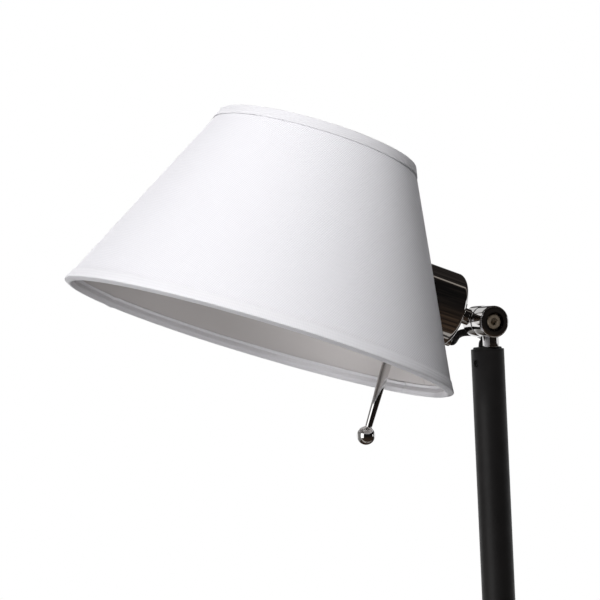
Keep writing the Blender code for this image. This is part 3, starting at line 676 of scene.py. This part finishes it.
def make_cup():
    front = CUP_START + CUP_LENGTH
    inner = CUP_RADIUS - CUP_WALL
    floor = CUP_START + 2.0 * MM
    outline = rounded(
        [
            (CUP_RADIUS, front),
            (CUP_RADIUS, CUP_START),
            (4.3 * MM, CUP_START),
            (4.3 * MM, floor),
            (inner, floor),
            (inner, front),
        ],
        {0: 0.4 * MM, 1: 4.0 * MM, 4: 2.6 * MM, 5: 0.4 * MM},
        10,
    )
    cup = turned_mesh("polished_cup", outline, CUP_AXIS @ FORWARD, 192, closed=True)
    gland_place = CUP_AXIS @ Matrix.Translation((0, 0, -GLAND_DROP)) @ FORWARD
    hole = turned_mesh("hole", disc(3.8 * MM, CUP_START - 5 * MM, floor + 3 * MM), gland_place, 64)
    rod_bore = disc(2.4 * MM, -CUP_RADIUS - 5 * MM, -CUP_RADIUS + 5 * MM)
    rod_hole = turned_mesh("rod_hole", rod_bore, HANDLE_AXIS, 48)
    piece("polished_cup", carve(cup, [hole, rod_hole]), CHROME, "head", ["socket_cup"])

    gland = rounded(
        [
            (GLAND_RADIUS, CUP_START - TOUCH),
            (GLAND_RADIUS, CUP_START - GLAND_LENGTH),
            (CABLE_RADIUS + TOUCH, CUP_START - GLAND_LENGTH),
            (CABLE_RADIUS + TOUCH, floor + 1.5 * MM),
            (CABLE_RADIUS + 1.0 * MM, floor + 1.5 * MM),
            (CABLE_RADIUS + 1.0 * MM, CUP_START - TOUCH),
        ],
        {1: 0.95 * MM, 2: 0.2 * MM},
        6,
    )
    mesh = turned_mesh("gland_bush", gland, gland_place, 64, closed=True)
    piece("gland_bush", mesh, CHROME, "head", ["cable_gland"])


def make_handle():
    shoulder = -CUP_RADIUS - TOUCH
    ball_top = -HANDLE_DROP + BALL_RADIUS
    rod = [
        (0.0, -19.9 * MM),
        (2.0 * MM, -19.9 * MM),
        (2.0 * MM, shoulder),
        (ROD_TOP_RADIUS, shoulder),
        (ROD_END_RADIUS, ball_top + 0.1 * MM),
        (1.5 * MM, ball_top + 0.1 * MM),
        (1.5 * MM, ball_top - 4 * MM),
        (0.0, ball_top - 4 * MM),
    ]
    mesh = turned_mesh("handle_stem", rounded(rod, {1: 0.3 * MM, 3: 0.3 * MM}, 4), HANDLE_AXIS, 64)
    piece("handle_stem", mesh, CHROME, "head", ["handle_rod"])
    seat = ROD_END_RADIUS + 0.25 * MM
    start = math.acos(seat / BALL_RADIUS)
    outline = [(1.8 * MM, ball_top - 4.4 * MM), (1.8 * MM, ball_top - 0.2 * MM), (seat, ball_top - 0.2 * MM)]
    steps = 40
    for k in range(steps + 1):
        angle = start - (start + math.pi / 2) * k / steps
        outline.append((BALL_RADIUS * math.cos(angle), -HANDLE_DROP + BALL_RADIUS * math.sin(angle)))
    outline[-1] = (0.0, -HANDLE_DROP - BALL_RADIUS)
    outline.insert(0, (0.0, ball_top - 4.4 * MM))
    mesh = turned_mesh("handle_knob", outline, HANDLE_AXIS, 96)
    piece("handle_knob", mesh, CHROME, "head", ["handle_ball"])


# --- cable ----------------------------------------------------------------------------------------
CABLE_IN_POST = (
    (0.0, 0.0, -64.0),
    (-0.4, -0.1, -60.0),
    (-3.0, -0.5, -54.0),
    (-5.3, -0.9, -48.0),
    (-5.6, -1.0, -42.0),
    (-5.6, -1.0, -30.0),
    (-5.6, -1.0, -21.0),
)
INSERT_BORE = (-5.6, -1.0)
CABLE_LOOSE = (
    (-5.7, -1.0, -17.4),
    (-7.6, 0.4, -14.3),
    (-12.4, 4.0, -13.2),
    (-16.6, 6.8, -11.4),
    (-19.6, 4.4, -9.0),
    (-20.6, -1.0, -7.4),
    (-19.4, -8.0, -7.2),
    (-16.0, -14.0, -8.6),
)
CABLE_IN_CUP = (
    (-2.9, -13.7, -17.7),
    (-0.3, -16.1, -19.1),
    (0.0, -18.0, -19.2),
    (0.0, -26.0, -19.2),
    (0.0, -30.0, -16.4),
    (0.0, -33.6, -13.0),
)


def smooth_route(points, count):
    """Evenly spaced points on a smooth curve through the given ones."""
    knots = [Vector(p) for p in points]
    knots = [2 * knots[0] - knots[1]] + knots + [2 * knots[-1] - knots[-2]]
    fine = []
    for k in range(1, len(knots) - 2):
        a, b, c, d = knots[k - 1 : k + 3]
        for step in range(20):
            t = step / 20
            cubic = 2 * b + (c - a) * t + (2 * a - 5 * b + 4 * c - d) * t**2
            fine.append(0.5 * (cubic + (3 * b - a - 3 * c + d) * t**3))
    fine.append(knots[-2])
    lengths = [0.0]
    for a, b in zip(fine, fine[1:]):
        lengths.append(lengths[-1] + (b - a).length)
    route = []
    k = 0
    for i in range(count):
        goal = lengths[-1] * i / (count - 1)
        while k < len(fine) - 2 and lengths[k + 1] < goal:
            k += 1
        share = (goal - lengths[k]) / (lengths[k + 1] - lengths[k])
        route.append(fine[k].lerp(fine[k + 1], share))
    return route


def tube(name, points, radius, sides=28):
    """A round tube through the points, closed at both ends, whose rings don't twist."""
    shape = bmesh.new()
    rings = []
    across = None
    for i, point in enumerate(points):
        ahead = (points[min(i + 1, len(points) - 1)] - points[max(i - 1, 0)]).normalized()
        across = ahead.orthogonal() if across is None else across - ahead * across.dot(ahead)
        across.normalize()
        side = ahead.cross(across)
        made = []
        for k in range(sides):
            turn = 2 * math.pi * k / sides
            made.append(shape.verts.new(point + (across * math.cos(turn) + side * math.sin(turn)) * radius))
        rings.append(made)
    for a, b in zip(rings, rings[1:]):
        for k in range(sides):
            shape.faces.new([a[k], a[(k + 1) % sides], b[(k + 1) % sides], b[k]])
    shape.faces.new(rings[0])
    shape.faces.new(rings[-1])
    bmesh.ops.recalc_face_normals(shape, faces=shape.faces)
    mesh = bpy.data.meshes.new(name)
    shape.to_mesh(mesh)
    shape.free()
    return mesh


def make_cable():
    upright = Matrix.Translation((0, 0, TILT_AXIS.z))
    route = [upright @ (Vector(p) * MM) for p in CABLE_IN_POST + CABLE_LOOSE]
    route += [CUP_AXIS @ (Vector(p) * MM) for p in CABLE_IN_CUP]
    mesh = tube("head_lead", smooth_route(route, 90), CABLE_RADIUS)
    lead = bpy.data.objects.new("head_lead", smooth(mesh, 60))
    bpy.context.scene.collection.objects.link(lead)
    lead.data.materials.append(RUBBER)
    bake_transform(lead)
    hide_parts("cable_jumper")


# --- post and base --------------------------------------------------------------------------------
def make_post():
    for name in ("post_lower", "post_middle", "post_upper"):
        low, high = (corner.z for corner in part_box(name))
        wall = ring(POST_RADIUS - POST_WALL, POST_RADIUS, low, high)
        outline = rounded(wall, {0: 0.35 * MM, 1: 0.35 * MM, 3: 0.25 * MM}, 3)
        mesh = turned_mesh(name + "_tube", outline, UPRIGHT, 96, closed=True)
        if name == "post_upper":
            facing = Matrix.Translation((0, 0, GRUB_HEIGHT)) @ Matrix.Rotation(GRUB_ANGLE, 4, "Z") @ ALONG_X
            hole = [(0.0, 12.5), (3.2, 12.5), (2.1, 10.4), (2.1, 8.0), (0.0, 8.0)]
            hole = [(radius * MM, out * MM) for radius, out in hole]
            mesh = carve(mesh, [turned_mesh("grub_hole", hole, facing, 64)])
        piece(name + "_tube", mesh, COAT, "stand", [name])
    outline = rounded(disc(INSERT_RADIUS, INSERT_LOW, INSERT_TOP), {1: 0.6 * MM}, 4)
    plug = turned_mesh("post_plug", outline, UPRIGHT, 96)
    cable_place = Matrix.Translation((INSERT_BORE[0] * MM, INSERT_BORE[1] * MM, 0))
    stud_place = Matrix.Translation((STUB_X - 1.6 * MM, 0, 0))
    reach = (INSERT_LOW - 1 * MM, INSERT_TOP + 1 * MM)
    holes = [
        turned_mesh("cable_hole", disc(CABLE_RADIUS + 0.8 * MM, *reach), cable_place, 48),
        turned_mesh("stub_hole", disc(3.3 * MM, *reach), stud_place, 48),
    ]
    piece("post_plug", carve(plug, holes), PLASTIC, "swivel", ["top_insert"])


def make_base():
    crown = COVER_CROWN
    rim = BASE_RADIUS - BASE_SKIN
    bore = 5.3 * MM
    outline = rounded(
        [
            (bore, crown),
            (30 * MM, crown - 0.4 * MM),
            (100 * MM, crown - 5 * MM),
            (BASE_RADIUS, crown - 9 * MM),
            (BASE_RADIUS, 2.4 * MM),
            (rim, 2.4 * MM),
            (rim, crown - 9 * MM - BASE_SKIN),
            (100 * MM, crown - 5 * MM - BASE_SKIN),
            (30 * MM, crown - 0.4 * MM - BASE_SKIN),
            (bore, crown - BASE_SKIN),
        ],
        {1: 60 * MM, 2: 80 * MM, 3: 7 * MM, 4: 0.5 * MM, 6: 5.8 * MM},
        10,
    )
    mesh = turned_mesh("base_shell", outline, UPRIGHT, 192, closed=True)
    bush_place = Matrix.Translation((0, BASE_RADIUS, 7.4 * MM)) @ Matrix.Rotation(-math.pi / 2, 4, "X")
    mesh = carve(mesh, [turned_mesh("bush_hole", disc(4.4 * MM, -8 * MM, 8 * MM), bush_place, 64)])
    piece("base_shell", mesh, COAT, "stand", ["base_cover"])
    foot = crown + TOUCH
    collar = rounded(ring(POST_RADIUS + TOUCH, 17 * MM, foot, foot + 9 * MM), {0: 3 * MM, 3: 0.3 * MM}, 8)
    mesh = turned_mesh("foot_collar", collar, UPRIGHT, 96, closed=True)
    piece("foot_collar", mesh, COAT, "stand", ["post_collar"])


# --- the pieces that stay as they are -------------------------------------------------------------
def soft_edges():
    """A modifier that shades faces smooth and keeps edges over 32 degrees sharp."""
    tree = bpy.data.node_groups.new("soft_edges", "GeometryNodeTree")
    tree.interface.new_socket("Geometry", in_out="INPUT", socket_type="NodeSocketGeometry")
    tree.interface.new_socket("Geometry", in_out="OUTPUT", socket_type="NodeSocketGeometry")
    start = tree.nodes.new("NodeGroupInput")
    end = tree.nodes.new("NodeGroupOutput")
    faces = tree.nodes.new("GeometryNodeSetShadeSmooth")
    faces.domain = "FACE"
    edges = tree.nodes.new("GeometryNodeSetShadeSmooth")
    edges.domain = "EDGE"
    edges.inputs["Shade Smooth"].default_value = False
    angle = tree.nodes.new("GeometryNodeInputMeshEdgeAngle")
    sharp = tree.nodes.new("FunctionNodeCompare")
    sharp.operation = "GREATER_THAN"
    sharp.inputs["B"].default_value = math.radians(32)
    tree.links.new(angle.outputs["Unsigned Angle"], sharp.inputs["A"])
    tree.links.new(start.outputs["Geometry"], faces.inputs["Geometry"])
    tree.links.new(faces.outputs["Geometry"], edges.inputs["Geometry"])
    tree.links.new(sharp.outputs["Result"], edges.inputs["Selection"])
    tree.links.new(edges.outputs["Geometry"], end.inputs["Geometry"])
    return tree


def finish_frame_nodes():
    tree = soft_edges()
    for part in frame["record"]["subparts"]:
        node = frame["nodes"][part["node"]]
        node.data.materials.clear()
        node.data.materials.append(SLOT_MATERIALS[part["material_slot"]])
        weld = node.modifiers.new("weld", "WELD")
        weld.merge_threshold = 0.001 * MM
        node.modifiers.new("soft_edges", "NODES").node_group = tree


# --- studio ---------------------------------------------------------------------------------------
CAMERA_PLACE = Vector((1.2427, -0.6188, 1.3432))
CAMERA_AIM = Vector((-0.0085, -0.1284, 1.3207))
CAMERA_ROLL = math.radians(-2.67)
CAMERA_ANGLE = math.radians(16.365)


def make_camera():
    camera = bpy.data.objects.new("camera", bpy.data.cameras.new("camera"))
    camera.data.angle = CAMERA_ANGLE
    camera.location = CAMERA_PLACE
    facing = (CAMERA_AIM - CAMERA_PLACE).to_track_quat("-Z", "Y")
    camera.rotation_mode = "QUATERNION"
    camera.rotation_quaternion = facing @ Quaternion((0, 0, 1), CAMERA_ROLL)
    bpy.context.scene.collection.objects.link(camera)
    bpy.context.scene.camera = camera


def area_light(name, place, aim, power):
    """A square white light that the lamp's polished pieces don't mirror."""
    light = bpy.data.lights.new(name, "AREA")
    light.shape = "RECTANGLE"
    light.size, light.size_y = LIGHT_SIZE
    light.energy = power
    obj = bpy.data.objects.new(name, light)
    obj.location = place
    obj.rotation_euler = (Vector(aim) - Vector(place)).to_track_quat("-Z", "Y").to_euler()
    obj.visible_camera = False
    obj.visible_glossy = False
    bpy.context.scene.collection.objects.link(obj)


HEAD_CENTRE = Vector((-0.009, -0.14, 1.36))
AMBIENT_ABOVE = (0.03, 0.03, 0.031)
AMBIENT_BELOW = (0.02, 0.019, 0.018)


# Each light: its height over the head's centre and its turn from the camera, towards the picture's
# right, in degrees, and its power in watts.
LIGHT_REACH = 2.2
LIGHT_SIZE = (0.9, 0.9)
LIGHTS = (
    ("key_box", 45, -18, 36.0),
    ("top_box", 75, 0, 12.0),
    ("low_box", -25, -10, 17.0),
    ("left_box", 10, -100, 6.0),
    ("right_box", -30, 100, 3.5),
    ("under_box", -25, -100, 15.0),
    ("back_right_box", 10, 160, 30.0),
    ("back_left_box", 10, -160, 30.0),
)


def make_lights():
    to_camera = CAMERA_PLACE - HEAD_CENTRE
    ahead = math.atan2(to_camera.y, to_camera.x)
    for name, height, turn, power in LIGHTS:
        level = math.cos(math.radians(height))
        bearing = ahead + math.radians(turn)
        way = Vector((math.cos(bearing) * level, math.sin(bearing) * level, math.sin(math.radians(height))))
        area_light(name, HEAD_CENTRE + way * LIGHT_REACH, HEAD_CENTRE, power)


def world_node(tree, kind, **settings):
    node = tree.nodes.new(kind)
    for key, value in settings.items():
        setattr(node, key, value)
    return node


def world_value(tree, operation, *inputs):
    node = world_node(tree, "ShaderNodeMath", operation=operation)
    for socket, value in zip(node.inputs, inputs):
        if isinstance(value, (int, float)):
            socket.default_value = value
        else:
            tree.links.new(value, socket)
    return node.outputs[0]


def along(tree, direction, axis):
    """How far the looked-at direction points along an axis."""
    node = world_node(tree, "ShaderNodeVectorMath", operation="DOT_PRODUCT")
    tree.links.new(direction, node.inputs[0])
    node.inputs[1].default_value = axis
    return node.outputs["Value"]


def inside(tree, value, half, soft):
    """1 where the value is within the half width either side of 0, fading over the soft edge."""
    node = world_node(tree, "ShaderNodeMapRange", interpolation_type="SMOOTHSTEP")
    node.inputs["From Min"].default_value = half + soft
    node.inputs["From Max"].default_value = half
    tree.links.new(world_value(tree, "ABSOLUTE", value), node.inputs["Value"])
    return node.outputs["Result"]


def mixed(tree, factor, a, b):
    node = world_node(tree, "ShaderNodeMix", data_type="RGBA")
    tree.links.new(factor, node.inputs["Factor"])
    for socket, value in ((node.inputs["A"], a), (node.inputs["B"], b)):
        if isinstance(value, tuple):
            socket.default_value = (*value, 1.0)
        else:
            tree.links.new(value, socket)
    return node.outputs["Result"]


# What the polished pieces mirror, as flat cards seen from the lamp: the way to the card's centre, the
# way across it, its half sizes across and up as tangents, its soft edge and its colour.
CARDS = (
    ("grey wall", (-0.66, -0.75, 0.10), (0.75, -0.66, 0.0), 1.10, 0.80, 0.35, (0.20, 0.195, 0.19)),
    ("backdrop", (-0.93, 0.365, -0.10), (0.365, 0.93, 0.0), 1.75, 0.26, 0.14, (0.92, 0.92, 0.93)),
    ("right wing", (0.22, 0.975, -0.02), (0.975, -0.22, 0.0), 0.20, 0.12, 0.06, (0.92, 0.92, 0.93)),
    ("upper wall", (-0.93, 0.04, 0.36), (0.04, 0.93, 0.0), 0.17, 0.14, 0.06, (0.62, 0.62, 0.62)),
    ("left softbox", (0.32, -0.95, 0.15), (0.95, 0.32, 0.0), 0.30, 0.55, 0.10, (1.5, 1.5, 1.5)),
    ("ceiling strip", (0.14, 0.65, 0.745), (1.0, -0.1, -0.1), 0.022, 2.0, 0.035, (0.30, 0.27, 0.24)),
    ("pale floor strip", (0.02, 0.03, -1.0), (1.0, 0.0, 0.02), 0.16, 2.5, 0.05, (0.34, 0.32, 0.30)),
)


def room(tree, direction):
    """A dark room: brown floor boards below, near black on the camera's right, warm ceiling."""
    split = world_node(tree, "ShaderNodeSeparateXYZ")
    tree.links.new(direction, split.inputs["Vector"])
    stretch = world_node(tree, "ShaderNodeMapping")
    stretch.inputs["Scale"].default_value = (13.0, 0.7, 13.0)
    tree.links.new(direction, stretch.inputs["Vector"])
    boards = world_node(tree, "ShaderNodeTexNoise")
    boards.inputs["Scale"].default_value = 1.0
    boards.inputs["Detail"].default_value = 3.0
    tree.links.new(stretch.outputs["Vector"], boards.inputs["Vector"])
    grain = world_node(tree, "ShaderNodeMapRange")
    grain.inputs["From Min"].default_value = 0.38
    grain.inputs["From Max"].default_value = 0.66
    tree.links.new(boards.outputs["Fac"], grain.inputs["Value"])
    floor = mixed(tree, grain.outputs["Result"], (0.014, 0.010, 0.008), (0.060, 0.040, 0.027))
    upper = mixed(tree, grain.outputs["Result"], (0.010, 0.009, 0.0085), (0.027, 0.023, 0.021))
    black = mixed(tree, grain.outputs["Result"], (0.004, 0.004, 0.004), (0.012, 0.010, 0.009))
    down = world_node(tree, "ShaderNodeMapRange", interpolation_type="SMOOTHSTEP")
    down.inputs["From Min"].default_value = 0.05
    down.inputs["From Max"].default_value = -0.85
    tree.links.new(split.outputs["Z"], down.inputs["Value"])
    lower = mixed(tree, down.outputs["Result"], black, floor)
    back = world_node(tree, "ShaderNodeMapRange", interpolation_type="SMOOTHSTEP")
    back.inputs["From Min"].default_value = 0.12
    back.inputs["From Max"].default_value = -0.05
    tree.links.new(split.outputs["X"], back.inputs["Value"])
    above = world_node(tree, "ShaderNodeMath", operation="GREATER_THAN")
    tree.links.new(split.outputs["Z"], above.inputs[0])
    above.inputs[1].default_value = 0.0
    behind = world_value(tree, "MULTIPLY", above.outputs[0], back.outputs["Result"])
    return mixed(tree, behind, lower, upper)


def make_world():
    """White behind the lamp; what the polished pieces mirror is a dim studio with a white backdrop."""
    world = bpy.data.worlds.new("studio")
    world.use_nodes = True
    tree = world.node_tree
    tree.nodes.clear()
    out = world_node(tree, "ShaderNodeOutputWorld")
    path = world_node(tree, "ShaderNodeLightPath")
    place = world_node(tree, "ShaderNodeTexCoord")
    direction = place.outputs["Generated"]

    mirrored = room(tree, direction)
    for name, centre, across, half_width, half_height, soft, colour in CARDS:
        ahead = Vector(centre).normalized()
        side = Vector(across)
        side = (side - ahead * side.dot(ahead)).normalized()
        depth = along(tree, direction, ahead)
        facing = world_value(tree, "GREATER_THAN", depth, 0.05)
        depth = world_value(tree, "MAXIMUM", depth, 0.05)
        left = world_value(tree, "DIVIDE", along(tree, direction, side), depth)
        up = world_value(tree, "DIVIDE", along(tree, direction, ahead.cross(side)), depth)
        cover = world_value(
            tree, "MULTIPLY", inside(tree, left, half_width, soft), inside(tree, up, half_height, soft)
        )
        mirrored = mixed(tree, world_value(tree, "MULTIPLY", cover, facing), mirrored, colour)

    split = world_node(tree, "ShaderNodeSeparateXYZ")
    tree.links.new(direction, split.inputs["Vector"])
    upward = world_value(tree, "GREATER_THAN", split.outputs["Z"], 0.0)
    soft_light = mixed(tree, upward, AMBIENT_BELOW, AMBIENT_ABOVE)
    lit = mixed(tree, path.outputs["Is Glossy Ray"], soft_light, mirrored)
    seen = mixed(tree, path.outputs["Is Camera Ray"], lit, (1.0, 1.0, 1.0))
    light = world_node(tree, "ShaderNodeBackground")
    tree.links.new(seen, light.inputs["Color"])
    tree.links.new(light.outputs["Background"], out.inputs["Surface"])
    bpy.context.scene.world = world


FLOOR_RADIUS = 4.0
FLOOR_GAP = 0.5 * MM
FLOOR_GLOW = 0.74


def make_floor():
    """A pale round floor that gives off some light, so that it stays even wherever the lights fall."""
    outline = [(0.0, 0.0), (FLOOR_RADIUS, 0.0)]
    mesh = turned_mesh("floor", outline, Matrix.Translation((0, 0, -FLOOR_GAP)), 96)
    floor = bpy.data.objects.new("floor", mesh)
    bpy.context.scene.collection.objects.link(floor)
    m = Nodes("pale_floor", (0.16, 0.16, 0.16), 0.9)
    m.colour(m.tint(m.noise(6, 4), (0.15, 0.15, 0.15), (0.17, 0.17, 0.17)))
    m.set(m.shader, Emission_Color=(1.0, 1.0, 0.99, 1.0), Emission_Strength=FLOOR_GLOW)
    floor.data.materials.append(m.material)
    floor.visible_glossy = False
    floor.visible_diffuse = False


def make_studio():
    make_camera()
    make_lights()
    make_world()
    make_floor()
    bpy.context.scene.view_settings.view_transform = "Standard"


make_studio()
finish_frame_nodes()
make_shade()
make_knuckle()
make_cup()
make_handle()
make_cable()
make_post()
make_base()
